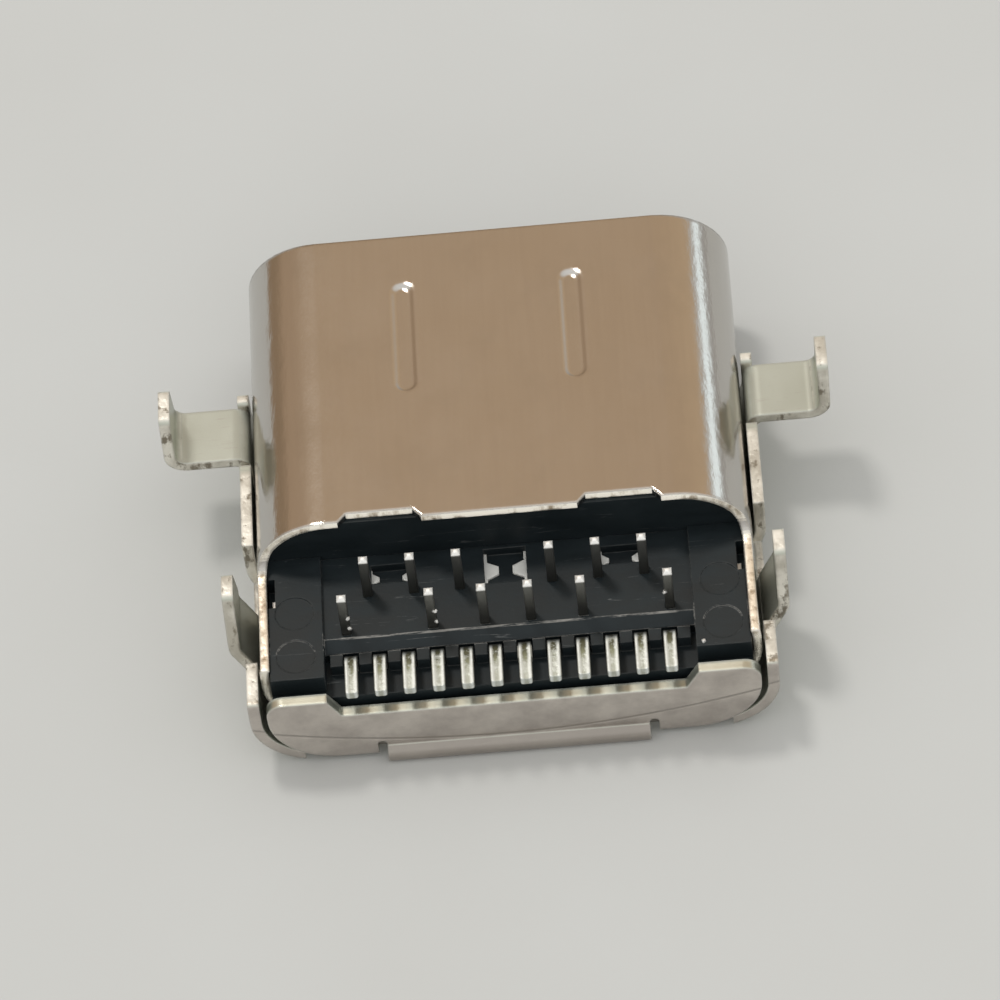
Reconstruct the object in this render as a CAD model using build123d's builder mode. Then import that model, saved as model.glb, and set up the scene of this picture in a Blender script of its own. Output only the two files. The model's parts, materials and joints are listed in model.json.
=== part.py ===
"""Mid-mount USB-C receptacle with twelve surface-mount tails and twelve through-board pins.

Millimetres. X runs across the mouth, +Y points out of the mouth, +Z points at the circuit board.
The origin is under the middle of the part, on the plane of the bracket's bottom plate.
"""

import math
import os

from build123d import *

# ---------------------------------------------------------------- driving dimensions

LENGTH = 9.0  # rear cover's outer face to the rim of the mouth

# mating shell, a drawn tube of thin stainless sheet
OPENING_WIDTH = 8.34
OPENING_HEIGHT = 2.56
OPENING_RADIUS = 1.15
SHELL_WALL = 0.15
SHELL_TAIL_GAP = 0.6  # rear cover's outer face to the tube's rear end
TOP_CUT = 2.85  # rear cover's outer face to the cut-back edge of the tube's top
TOP_CUT_RADIUS = 0.4
NOTCH_INNER = 1.35  # half width of the lip between the two notches of that edge
NOTCH_OUTER = 2.8
NOTCH_DEPTH = 0.17
NOTCH_SLOPE = 0.15
SHELL_SIDE_TOP = 0.12  # tube's side walls above the board plane, behind the cut
RIM_CHAMFER = 0.05
GROOVE_WIDTH = 0.42
GROOVE_LENGTH = 2.4
GROOVE_DEPTH = 0.05
GROOVE_DRAFT = 60
GROOVE_SPACING = 2.98
GROOVE_SETBACK = 2.25  # rim to the groove's middle

# outer bracket, one folded sheet
SHEET = 0.2
SIDE_GAP = 0.05  # tube's side to the bracket's wall
BRACKET_RADIUS = 1.2
BRACKET_REAR_GAP = 0.05
FRONT_WALL_LENGTH = 0.26  # wall ahead of the front legs
FRONT_WALL_RISE = 0.1  # and its top above the board plane
REAR_WALL_DROP = 0.15  # top of the wall behind the rear legs, below the board plane
BOARD_OFFSET = 0.27  # board plane above the axis of the mouth
PIN_REACH = 1.0  # legs and pins above the board plane

# folded rear cover
COVER_SIDE_GAP = 0.11  # cover's side to the bracket's wall
COVER_RADIUS = 1.18
COVER_FOOT = 0.12
COVER_CENTRE_DROP = 0.57  # middle of the cover's top edge below the board plane
EAR_DROP = 0.13
EAR_INNER = 3.2
EAR_SLOPE = 0.23
EAR_RADIUS = 0.3
LIP_HALF_WIDTH = 2.28
LIP_SLOT = 0.16
LIP_BULGE = 0.17
LIP_HEIGHT = 0.34
LIP_RADIUS = 0.13
COVER_CLEARANCE = 0.05
LOBE_REACH = 0.35  # slot under the cover, past the bottom plate's flat width
LOBE_CUT_HEIGHT = 0.3

# front legs: wall, level tab, upright leg
FRONT_LEG_CENTRE = 5.8  # from the rear cover's outer face
FRONT_LEG_WIDTH = 1.12
FRONT_LEG_REACH = 1.31  # leg's outer face beyond the wall's
TAB_ROOT_RADIUS = 0.3
TAB_BEND_RADIUS = 0.4

# rear legs: wall, short joggle outward, upright leg
REAR_LEG_CENTRE = 1.83
REAR_LEG_WIDTH = 1.15
REAR_LEG_REACH = 0.28
JOGGLE_START = 0.85  # below the board plane
JOGGLE_END = 0.2
JOGGLE_RADIUS = 0.25

FRONT_LEG_TIP = 0.72
REAR_LEG_TIP = 0.5
LEG_TIP_RADIUS = 0.14
LEG_SHOULDER = 0.08  # level above the board plane where the taper starts
RELIEF = 0.14  # slot beside a front leg's root
RELIEF_DEPTH = 0.25
REAR_RELIEF = 0.28  # slot between a rear leg's root and the wall behind it
LOW_WALL_LENGTH = 0.95  # low stretch of wall ahead of a rear leg
LOW_WALL_DROP = 1.15
WALL_CORNER_RADIUS = 0.1

# tongue and insulators
HOUSING_DEPTH = 2.96  # rear cover's outer face to the wall at the back of the mouth
BACK_WALL = 0.29
TONGUE_MARGIN = 0.345  # tongue's side beyond the contacts' pitches
TONGUE_THICKNESS = 0.7
TONGUE_RECESS = 0.75  # rim to the tongue's tip
TONGUE_TIP_CHAMFER = 0.12
ROOT_STEP = 0.205  # root's side beyond the tongue's
ROOT_THICKNESS = 1.06
ROOT_LENGTH = 1.15
ROOT_RADIUS = 0.23
INSULATOR_CLEARANCE = 0.02
PANEL_DROP = 0.05  # panel round the through pins, below the board plane
PANEL_MARGIN = 0.2  # panel's side beyond the contacts' pitches
PANEL_REAR = 1.04  # from the rear cover's outer face
PANEL_CHAMFER_LENGTH = 0.22
PANEL_CHAMFER_DROP = 0.15
BLOCK_RISE = 0.05  # side blocks above the board plane
BLOCK_REAR = 0.42
EJECTOR_RADIUS = 0.34
EJECTOR_DEPTH = 0.02
EJECTOR_STATIONS = (0.9, 1.8)
COMB_REAR = 0.3
COMB_RIB_DEPTH = 0.24
COMB_RIB_GAP = 0.03
WINDOW_DEPTH = 0.19
WINDOW_LAP = 0.05  # how much of a contact shows in the middle window
WINDOW_LENGTH = 0.72
WINDOW_SETBACK = 0.07  # middle window's far edge to the back wall
SIDE_WINDOW_LENGTH = 0.38
SIDE_WINDOW_SETBACK = 0.22
EAR_POCKET_REAR = 1.95
EAR_POCKET_LENGTH = 0.6
EAR_POCKET_DEPTH = 0.16

# mid plate and ground pads
PLATE_THICKNESS = 0.15
PLATE_TIP_GAP = 0.35  # tongue's tip to the plate
PLATE_HOLE_RADIUS = 0.3
PLATE_HOLE_SPACING = 1.9
LATCH_NOTCH_DEPTH = 0.2
LATCH_NOTCH_LENGTH = 0.9
LATCH_NOTCH_SETBACK = 1.6  # tongue's tip to the notch's middle
ARM_INSET = 0.1  # panel's side to the arm
ARM_WIDTH = 0.4
ARM_EAR_GAP = 0.09  # ear's end to the tube's wall
ARM_EAR_LENGTH = 0.2
ARM_REAR = 2.05
PAD_THICKNESS = 0.1
PAD_RADIUS = 0.15
PAD_SLOT = 0.5

# contacts
PITCH = 0.5
CONTACTS = 12
CONTACT_THICKNESS = 0.15
CONTACT_WIDTH = 0.25
TAIL_WIDTH = 0.22
RUN_WIDTH = 0.16
LONG_TIP_GAP = 0.4  # tongue's tip to the first-mating contacts
SHORT_TIP_GAP = 0.8
LONG_CONTACTS = (1, 4, 9, 12)
TAIL_TIP = 0.07
TAIL_RISER = 0.88  # middle of the tail's upright part
TAIL_RADIUS = 0.16
RUN_COVER = 0.15  # plastic over the through-pin contacts
PIN_TIP_CHAMFER = 0.05
NEAR_ROW = 1.4  # rows of pins from the rear cover's outer face
FAR_ROW = 2.17
PIN_OFFSETS = (0.4, 0.8, 1.3, 1.6, 2.4, 2.8)  # pins of each half from the middle plane
PIN_ROWS = ("near", "far", "near", "far", "far", "near")
PIN_BARS = ("middle", "", "", "outward", "inward", "")  # sheared bars: which way each one ran
STUB_LENGTH = 0.2
STUB_ROOT = 0.36
STUB_TIP = 0.16
SMALL_STUB = 0.12
SMALL_STUB_ROOT = 0.24
SMALL_STUB_TIP = 0.08
NIB_TAIL = 7  # the tail that carries nibs of the sheared carrier strip
NIB_WIDTH = 0.035
NIB_LENGTH = 0.26
NIB_SETBACK = 0.65

# ---------------------------------------------------------------- derived values

REAR = -LENGTH / 2
FRONT = LENGTH / 2
SHELL_WIDTH = OPENING_WIDTH + 2 * SHELL_WALL
SHELL_HEIGHT = OPENING_HEIGHT + 2 * SHELL_WALL
SHELL_TOP = SHEET + SHELL_HEIGHT
AXIS_Z = SHEET + SHELL_HEIGHT / 2
BOARD_PLANE = AXIS_Z + BOARD_OFFSET
PIN_TOP = BOARD_PLANE + PIN_REACH
WALL_TOP = BOARD_PLANE + FRONT_WALL_RISE
BRACKET_HALF_WIDTH = SHELL_WIDTH / 2 + SIDE_GAP + SHEET
COVER_HALF_WIDTH = BRACKET_HALF_WIDTH - SHEET - COVER_SIDE_GAP
FRONT_LEG_X = BRACKET_HALF_WIDTH + FRONT_LEG_REACH
REAR_LEG_X = BRACKET_HALF_WIDTH + REAR_LEG_REACH
ROW_HALF_WIDTH = CONTACTS / 2 * PITCH
TONGUE_WIDTH = 2 * (ROW_HALF_WIDTH + TONGUE_MARGIN)
PANEL_HALF_WIDTH = ROW_HALF_WIDTH + PANEL_MARGIN

BACK_FACE = REAR + HOUSING_DEPTH
CAVITY_FLOOR = BACK_FACE + BACK_WALL
TONGUE_TIP = FRONT - TONGUE_RECESS
PANEL_TOP = BOARD_PLANE - PANEL_DROP
MIDDLE_WINDOW_Y = BACK_FACE - WINDOW_SETBACK - WINDOW_LENGTH / 2
SIDE_WINDOW_Y = BACK_FACE - SIDE_WINDOW_SETBACK - SIDE_WINDOW_LENGTH / 2

UPPER_ROW_Z = AXIS_Z + (TONGUE_THICKNESS - CONTACT_THICKNESS) / 2
LOWER_ROW_Z = AXIS_Z - (TONGUE_THICKNESS - CONTACT_THICKNESS) / 2
RUN_Z = PANEL_TOP - RUN_COVER - CONTACT_THICKNESS / 2
SPLIT_Z = (RUN_Z + LOWER_ROW_Z) / 2
TAIL_Z = BOARD_PLANE - CONTACT_THICKNESS / 2


def from_rear(distance):
    """Y of a place measured from the rear cover's outer face."""
    return REAR + distance


def cross_plane(y):
    """Plane across the part at y, X to the right and Z up; its normal points to the rear."""
    return Plane.XZ.offset(-y)


def side_plane(x):
    """Plane along the part at x, Y to the right and Z up; its normal points to +X."""
    return Plane.YZ.offset(x)


def strip_face(points, radii, thickness, side=Side.LEFT):
    """Section of a bent strip in the current sketch: a line, thickened to one side."""
    with BuildLine() as outline:
        FilletPolyline(*points, radius=radii)
        offset(amount=thickness, side=side)
    return make_face(outline.line)


def tube_section(clearance=0.0):
    """Inside outline of the mating shell, drawn smaller by a clearance."""
    with Locations((0, AXIS_Z)):
        RectangleRounded(
            OPENING_WIDTH - 2 * clearance,
            OPENING_HEIGHT - 2 * clearance,
            OPENING_RADIUS - clearance,
        )


def finish(builder, label):
    """Label a finished piece and write its STEP file."""
    builder.part.label = label
    export_step(builder.part, f"parts/{label}.step")


os.makedirs("parts", exist_ok=True)

# ---------------------------------------------------------------- mating shell

with BuildPart() as mating_shell:
    with BuildSketch(cross_plane(FRONT)):
        with Locations((0, AXIS_Z)):
            RectangleRounded(SHELL_WIDTH, SHELL_HEIGHT, OPENING_RADIUS + SHELL_WALL)
        with Locations((0, AXIS_Z)):
            RectangleRounded(OPENING_WIDTH, OPENING_HEIGHT, OPENING_RADIUS, mode=Mode.SUBTRACT)
    extrude(amount=LENGTH - SHELL_TAIL_GAP)
    mouth_edges = mating_shell.faces().sort_by(Axis.Y)[-1].inner_wires()[0].edges()
    chamfer(mouth_edges, length=RIM_CHAMFER)

    # the top is cut back over the rear, down to the side walls
    with BuildSketch(side_plane(0)):
        with BuildLine():
            rear_limit = from_rear(0)
            side_top = BOARD_PLANE + SHELL_SIDE_TOP
            FilletPolyline(
                (rear_limit, side_top),
                (from_rear(TOP_CUT), side_top),
                (from_rear(TOP_CUT), 2 * SHELL_TOP),
                radius=TOP_CUT_RADIUS,
            )
            Line((from_rear(TOP_CUT), 2 * SHELL_TOP), (rear_limit, 2 * SHELL_TOP))
            Line((rear_limit, 2 * SHELL_TOP), (rear_limit, side_top))
        make_face()
    extrude(amount=SHELL_WIDTH, both=True, mode=Mode.SUBTRACT)

    # two shallow notches in the cut-back edge
    with BuildSketch(Plane.XY.offset(SHELL_TOP - OPENING_RADIUS / 2)):
        edge = from_rear(TOP_CUT)
        for side in (-1, 1):
            with BuildLine():
                Polyline(
                    (side * NOTCH_INNER, edge),
                    (side * (NOTCH_INNER + NOTCH_SLOPE), edge + NOTCH_DEPTH),
                    (side * (NOTCH_OUTER - NOTCH_SLOPE), edge + NOTCH_DEPTH),
                    (side * NOTCH_OUTER, edge),
                    close=True,
                )
            make_face()
    extrude(amount=OPENING_RADIUS, mode=Mode.SUBTRACT)

    # two pressed grooves, sunk outside and raised inside, where they steady the plug
    groove_y = FRONT - GROOVE_SETBACK
    groove_places = Locations((-GROOVE_SPACING / 2, groove_y), (GROOVE_SPACING / 2, groove_y))
    with BuildSketch(Plane.XY.offset(SHELL_TOP - SHELL_WALL)):
        with groove_places:
            SlotOverall(GROOVE_LENGTH - SHELL_WALL, GROOVE_WIDTH - SHELL_WALL, rotation=90)
    extrude(amount=-GROOVE_DEPTH, taper=GROOVE_DRAFT)
    with BuildSketch(Plane.XY.offset(SHELL_TOP)):
        with groove_places:
            SlotOverall(GROOVE_LENGTH, GROOVE_WIDTH, rotation=90)
    extrude(amount=-GROOVE_DEPTH, taper=GROOVE_DRAFT, mode=Mode.SUBTRACT)

finish(mating_shell, "mating_shell")

# ---------------------------------------------------------------- outer bracket


def bent_leg(points, radii, centre, width, tip_width):
    """A leg bent from the bracket's wall: a strip's section cut to the tapered blank's outline."""
    with BuildPart() as leg:
        with BuildSketch(cross_plane(from_rear(centre + width / 2))):
            strip_face(points, radii, SHEET)
        extrude(amount=width)
        with BuildSketch(side_plane(0)) as blank:
            with BuildLine():
                shoulder = BOARD_PLANE + LEG_SHOULDER
                Polyline(
                    (from_rear(centre - width / 2), 0),
                    (from_rear(centre - width / 2), shoulder),
                    (from_rear(centre - tip_width / 2), PIN_TOP),
                    (from_rear(centre + tip_width / 2), PIN_TOP),
                    (from_rear(centre + width / 2), shoulder),
                    (from_rear(centre + width / 2), 0),
                    close=True,
                )
            make_face()
            tip_corners = blank.vertices().group_by(Axis.Y)[-1]
            fillet(tip_corners, radius=LEG_TIP_RADIUS)
        extrude(amount=2 * FRONT_LEG_X, mode=Mode.INTERSECT)
    return leg.part


root_z = BOARD_PLANE - SHEET - TAB_ROOT_RADIUS
front_leg = bent_leg(
    (
        (BRACKET_HALF_WIDTH, root_z - SHEET),
        (BRACKET_HALF_WIDTH, BOARD_PLANE - SHEET),
        (FRONT_LEG_X, BOARD_PLANE - SHEET),
        (FRONT_LEG_X, PIN_TOP),
    ),
    (TAB_ROOT_RADIUS - SHEET, TAB_BEND_RADIUS),
    FRONT_LEG_CENTRE,
    FRONT_LEG_WIDTH,
    FRONT_LEG_TIP,
)
rear_leg = bent_leg(
    (
        (BRACKET_HALF_WIDTH, BOARD_PLANE - JOGGLE_START - SHEET),
        (BRACKET_HALF_WIDTH, BOARD_PLANE - JOGGLE_START),
        (REAR_LEG_X, BOARD_PLANE - JOGGLE_END),
        (REAR_LEG_X, PIN_TOP),
    ),
    (JOGGLE_RADIUS, JOGGLE_RADIUS + SHEET),
    REAR_LEG_CENTRE,
    REAR_LEG_WIDTH,
    REAR_LEG_TIP,
)

bracket_rear = from_rear(BRACKET_REAR_GAP)
front_root = (
    from_rear(FRONT_LEG_CENTRE - FRONT_LEG_WIDTH / 2),
    from_rear(FRONT_LEG_CENTRE + FRONT_LEG_WIDTH / 2),
)
rear_root = (
    from_rear(REAR_LEG_CENTRE - REAR_LEG_WIDTH / 2),
    from_rear(REAR_LEG_CENTRE + REAR_LEG_WIDTH / 2),
)
bracket_front = front_root[1] + FRONT_WALL_LENGTH
joggle_z = BOARD_PLANE - JOGGLE_START

with BuildPart() as outer_bracket:
    # channel: bottom plate and both side walls
    with BuildSketch(cross_plane(bracket_front)):
        strip_face(
            (
                (BRACKET_HALF_WIDTH, WALL_TOP),
                (BRACKET_HALF_WIDTH, 0),
                (-BRACKET_HALF_WIDTH, 0),
                (-BRACKET_HALF_WIDTH, WALL_TOP),
            ),
            BRACKET_RADIUS,
            SHEET,
            Side.RIGHT,
        )
    extrude(amount=bracket_front - bracket_rear)

    # top line of the side walls: reliefs, legs' roots and the low stretch between them
    with BuildSketch(side_plane(0)) as wall_line:
        with BuildLine():
            low_end = rear_root[1] + LOW_WALL_LENGTH
            relief_z = joggle_z - RELIEF_DEPTH
            Polyline(
                (bracket_rear - SHEET, BOARD_PLANE - REAR_WALL_DROP),
                (rear_root[0] - REAR_RELIEF, BOARD_PLANE - REAR_WALL_DROP),
                (rear_root[0] - REAR_RELIEF, joggle_z),
                (rear_root[1], joggle_z),
                (rear_root[1], BOARD_PLANE - LOW_WALL_DROP),
                (low_end, BOARD_PLANE - LOW_WALL_DROP),
                (low_end, BOARD_PLANE),
                (front_root[0] - RELIEF, BOARD_PLANE),
                (front_root[0] - RELIEF, root_z - RELIEF),
                (front_root[0], root_z - RELIEF),
                (front_root[0], root_z),
                (front_root[1], root_z),
                (front_root[1], 2 * WALL_TOP),
                (bracket_rear - SHEET, 2 * WALL_TOP),
                close=True,
            )
        make_face()
    extrude(amount=BRACKET_HALF_WIDTH, both=True, mode=Mode.SUBTRACT)
    wall_edges = outer_bracket.edges().filter_by(Axis.X)
    front_corners = wall_edges.group_by(Axis.Z)[-1]
    rear_corners = wall_edges.group_by(Axis.Y)[0].group_by(Axis.Z)[-1]
    fillet(front_corners + rear_corners, radius=WALL_CORNER_RADIUS)

    # legs
    add(front_leg)
    add(rear_leg)
    mirror(front_leg, about=Plane.YZ)
    mirror(rear_leg, about=Plane.YZ)

    # bottom plate stops short of the cover's lobes
    lobe_limit = BRACKET_HALF_WIDTH - BRACKET_RADIUS + LOBE_REACH
    with BuildSketch(Plane.XY):
        with Locations((0, from_rear(0))):
            Rectangle(2 * lobe_limit, 2 * (SHEET + COVER_CLEARANCE))
    extrude(amount=LOBE_CUT_HEIGHT, mode=Mode.SUBTRACT)

    # rear cover's face
    with BuildSketch(cross_plane(from_rear(SHEET))) as cover:
        centre_top = BOARD_PLANE - COVER_CENTRE_DROP
        ear_top = BOARD_PLANE - EAR_DROP
        with BuildLine():
            half = Polyline(
                (0, COVER_FOOT),
                (COVER_HALF_WIDTH, COVER_FOOT),
                (COVER_HALF_WIDTH, ear_top),
                (EAR_INNER, ear_top),
                (EAR_INNER - EAR_SLOPE, centre_top),
                (0, centre_top),
            )
            mirror(half, about=Plane.YZ)
        make_face()
        foot_corners = cover.vertices().group_by(Axis.Y)[0]
        fillet(foot_corners.sort_by(Axis.X)[0], radius=COVER_RADIUS)
        fillet(cover.vertices().group_by(Axis.Y)[0].sort_by(Axis.X)[-1], radius=COVER_RADIUS)
        ear_corners = cover.vertices().group_by(Axis.Y)[-1].sort_by(Axis.X)
        fillet([ear_corners[0], ear_corners[-1]], radius=EAR_RADIUS)
        with Locations(
            (-LIP_HALF_WIDTH - LIP_SLOT / 2, COVER_FOOT), (LIP_HALF_WIDTH + LIP_SLOT / 2, COVER_FOOT)
        ):
            SlotOverall(2 * LIP_HEIGHT, LIP_SLOT, rotation=90, mode=Mode.SUBTRACT)
    extrude(amount=SHEET)

    # lip that folds the cover up from the bottom plate
    with BuildSketch(side_plane(-LIP_HALF_WIDTH)) as lip:
        with BuildLine():
            Polyline(
                (from_rear(0), LIP_HEIGHT + SHEET),
                (from_rear(0), LIP_HEIGHT),
                (from_rear(-LIP_BULGE), LIP_HEIGHT - LIP_BULGE / 2),
                (from_rear(-LIP_BULGE), 0),
                (from_rear(2 * SHEET), 0),
                (from_rear(2 * SHEET), SHEET),
                (from_rear(SHEET), SHEET),
                (from_rear(SHEET), LIP_HEIGHT + SHEET),
                close=True,
            )
        make_face()
        fillet(lip.vertices().group_by(Axis.X)[0], radius=LIP_RADIUS)
    extrude(amount=2 * LIP_HALF_WIDTH)

finish(outer_bracket, "outer_bracket")

# ---------------------------------------------------------------- contacts


def tongue_positions():
    """Number and X of each contact, from left to right."""
    for index in range(CONTACTS):
        yield index + 1, (index - (CONTACTS - 1) / 2) * PITCH


def tip_y(number):
    """Y of a contact's tip: the first-mating contacts reach further out."""
    gap = LONG_TIP_GAP if number in LONG_CONTACTS else SHORT_TIP_GAP
    return TONGUE_TIP - gap


def pin_place(x):
    """Which pin of its half belongs to the contact at x, counted from the middle, and its X and Y."""
    order = round(abs(x) / PITCH - 0.5)
    row = NEAR_ROW if PIN_ROWS[order] == "near" else FAR_ROW
    return order, math.copysign(PIN_OFFSETS[order], x), from_rear(row)


def tail_contact(number, x):
    """Lower-row contact, bent up and back into a surface-mount tail."""
    with BuildPart() as contact:
        riser = from_rear(TAIL_RISER) + CONTACT_THICKNESS / 2
        with BuildSketch(side_plane(x - CONTACT_WIDTH / 2)):
            strip_face(
                (
                    (tip_y(number), LOWER_ROW_Z - CONTACT_THICKNESS / 2),
                    (riser - CONTACT_THICKNESS, LOWER_ROW_Z - CONTACT_THICKNESS / 2),
                    (riser - CONTACT_THICKNESS, TAIL_Z - CONTACT_THICKNESS / 2),
                    (from_rear(TAIL_TIP), TAIL_Z - CONTACT_THICKNESS / 2),
                ),
                (CONTACT_THICKNESS, TAIL_RADIUS - CONTACT_THICKNESS / 2),
                CONTACT_THICKNESS,
                Side.RIGHT,
            )
        extrude(amount=CONTACT_WIDTH)
        with BuildSketch(Plane.XY) as plan:
            step = BACK_FACE
            with BuildLine():
                Polyline(
                    (x - CONTACT_WIDTH / 2, tip_y(number)),
                    (x - CONTACT_WIDTH / 2, step),
                    (x - TAIL_WIDTH / 2, step),
                    (x - TAIL_WIDTH / 2, from_rear(TAIL_TIP)),
                    (x + TAIL_WIDTH / 2, from_rear(TAIL_TIP)),
                    (x + TAIL_WIDTH / 2, step),
                    (x + CONTACT_WIDTH / 2, step),
                    (x + CONTACT_WIDTH / 2, tip_y(number)),
                    close=True,
                )
            make_face()
            fillet(plan.vertices().group_by(Axis.Y)[0], radius=TAIL_WIDTH / 4)
            if number == NIB_TAIL:
                with Locations((x, from_rear(NIB_SETBACK))):
                    RectangleRounded(TAIL_WIDTH + 2 * NIB_WIDTH, NIB_LENGTH, NIB_WIDTH)
        extrude(amount=PIN_TOP, mode=Mode.INTERSECT)
    return contact.part


def pin_contact(number, x):
    """Upper-row contact, stepped down behind the tongue and bent up into a through-board pin."""
    order, pin_x, pin_y = pin_place(x)
    with BuildPart() as contact:
        wide = CONTACT_WIDTH + abs(pin_x - x)
        with BuildSketch(side_plane((x + pin_x) / 2 - wide)):
            strip_face(
                (
                    (tip_y(number), UPPER_ROW_Z - CONTACT_THICKNESS / 2),
                    (CAVITY_FLOOR + CONTACT_THICKNESS, UPPER_ROW_Z - CONTACT_THICKNESS / 2),
                    (BACK_FACE + CONTACT_THICKNESS / 2, RUN_Z - CONTACT_THICKNESS / 2),
                    (pin_y - CONTACT_THICKNESS / 2, RUN_Z - CONTACT_THICKNESS / 2),
                    (pin_y - CONTACT_THICKNESS / 2, PIN_TOP),
                ),
                (0, 0, CONTACT_THICKNESS),
                CONTACT_THICKNESS,
                Side.RIGHT,
            )
        extrude(amount=2 * wide)
        with BuildSketch(Plane.XY):
            far = CAVITY_FLOOR
            near = BACK_FACE
            with BuildLine():
                Polyline(
                    (x - CONTACT_WIDTH / 2, tip_y(number)),
                    (x - CONTACT_WIDTH / 2, far),
                    (pin_x - RUN_WIDTH / 2, near),
                    (pin_x - RUN_WIDTH / 2, pin_y - CONTACT_THICKNESS),
                    (pin_x + RUN_WIDTH / 2, pin_y - CONTACT_THICKNESS),
                    (pin_x + RUN_WIDTH / 2, near),
                    (x + CONTACT_WIDTH / 2, far),
                    (x + CONTACT_WIDTH / 2, tip_y(number)),
                    close=True,
                )
            make_face()
        extrude(amount=PIN_TOP, mode=Mode.INTERSECT)
        tip_edges = contact.edges().group_by(Axis.Z)[-1]
        chamfer(tip_edges, length=PIN_TIP_CHAMFER)
        if PIN_BARS[order]:
            # what is left of the sheared bar that joined two neighbours
            outward = math.copysign(1, pin_x)
            towards = outward if PIN_BARS[order] == "outward" else -outward
            if PIN_BARS[order] == "middle":
                length, root, tip = STUB_LENGTH, STUB_ROOT, STUB_TIP
                stub_y = MIDDLE_WINDOW_Y
            else:
                length, root, tip = SMALL_STUB, SMALL_STUB_ROOT, SMALL_STUB_TIP
                stub_y = SIDE_WINDOW_Y
            base_x = pin_x + towards * RUN_WIDTH / 2
            with BuildSketch(Plane.XY.offset(RUN_Z - CONTACT_THICKNESS / 2)):
                with BuildLine():
                    Polyline(
                        (base_x - towards * RUN_WIDTH / 4, stub_y - root / 2),
                        (base_x, stub_y - root / 2),
                        (base_x + towards * length, stub_y - tip / 2),
                        (base_x + towards * length, stub_y + tip / 2),
                        (base_x, stub_y + root / 2),
                        (base_x - towards * RUN_WIDTH / 4, stub_y + root / 2),
                        close=True,
                    )
                make_face()
            extrude(amount=CONTACT_THICKNESS)
    return contact.part


contacts = {}
for number, x in tongue_positions():
    contacts[f"tail_contact_{number:02d}"] = tail_contact(number, x)
    contacts[f"pin_contact_{number:02d}"] = pin_contact(number, x)
for label, contact in contacts.items():
    contact.label = label
    export_step(contact, f"parts/{label}.step")

# ---------------------------------------------------------------- mid plate

with BuildPart() as mid_plate:
    plate_front = TONGUE_TIP - PLATE_TIP_GAP
    plate_rear = CAVITY_FLOOR + CONTACT_THICKNESS
    with BuildSketch(Plane.XY.offset(AXIS_Z - PLATE_THICKNESS / 2)) as plate_plan:
        with Locations((0, (plate_front + plate_rear) / 2)):
            Rectangle(TONGUE_WIDTH, plate_front - plate_rear)
        notch_y = TONGUE_TIP - LATCH_NOTCH_SETBACK
        with Locations((-TONGUE_WIDTH / 2, notch_y), (TONGUE_WIDTH / 2, notch_y)):
            Rectangle(2 * LATCH_NOTCH_DEPTH, LATCH_NOTCH_LENGTH, mode=Mode.SUBTRACT)
        with Locations((0, (plate_front + plate_rear) / 2)):
            with GridLocations(PLATE_HOLE_SPACING, 1, 3, 1):
                Circle(PLATE_HOLE_RADIUS, mode=Mode.SUBTRACT)
        # arms run back beside the pins, with ears in the side blocks' pockets
        arm_inner = PANEL_HALF_WIDTH + ARM_INSET
        arm_outer = arm_inner + ARM_WIDTH
        ear_end = OPENING_WIDTH / 2 - ARM_EAR_GAP
        arm_rear = from_rear(ARM_REAR)
        for side in (-1, 1):
            with BuildLine():
                Polyline(
                    (side * arm_inner, plate_rear + PLATE_THICKNESS),
                    (side * arm_inner, arm_rear),
                    (side * ear_end, arm_rear),
                    (side * ear_end, arm_rear + ARM_EAR_LENGTH),
                    (side * arm_outer, arm_rear + ARM_EAR_LENGTH),
                    (side * arm_outer, BACK_FACE),
                    (side * arm_inner, plate_rear + ARM_WIDTH),
                    (side * (arm_inner - PLATE_THICKNESS), plate_rear + ARM_WIDTH),
                    (side * (arm_inner - PLATE_THICKNESS), plate_rear + PLATE_THICKNESS),
                    close=True,
                )
            make_face()
    extrude(amount=PLATE_THICKNESS)

finish(mid_plate, "mid_plate")

# ---------------------------------------------------------------- insulators

with BuildPart() as lower_insulator:
    comb_rear = from_rear(COMB_REAR)
    with BuildSketch(cross_plane(BACK_FACE)):
        tube_section(INSULATOR_CLEARANCE)
        with Locations((0, SPLIT_Z)):
            Rectangle(
                SHELL_WIDTH, OPENING_HEIGHT, align=(Align.CENTER, Align.MIN), mode=Mode.SUBTRACT
            )
    extrude(amount=BACK_FACE - comb_rear)
    # comb ribs that guide the upright parts of the tails
    rib_width = PITCH - TAIL_WIDTH - 2 * COMB_RIB_GAP
    rib_y = from_rear(TAIL_RISER)
    with BuildSketch(Plane.XY.offset(SPLIT_Z)):
        with Locations((0, rib_y)):
            with GridLocations(PITCH, 1, CONTACTS + 1, 1):
                Rectangle(rib_width, COMB_RIB_DEPTH)
    extrude(amount=TAIL_Z - CONTACT_THICKNESS / 2 - SPLIT_Z)
    for label, contact in contacts.items():
        if label.startswith("tail"):
            add(contact, mode=Mode.SUBTRACT)

finish(lower_insulator, "lower_insulator")

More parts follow.
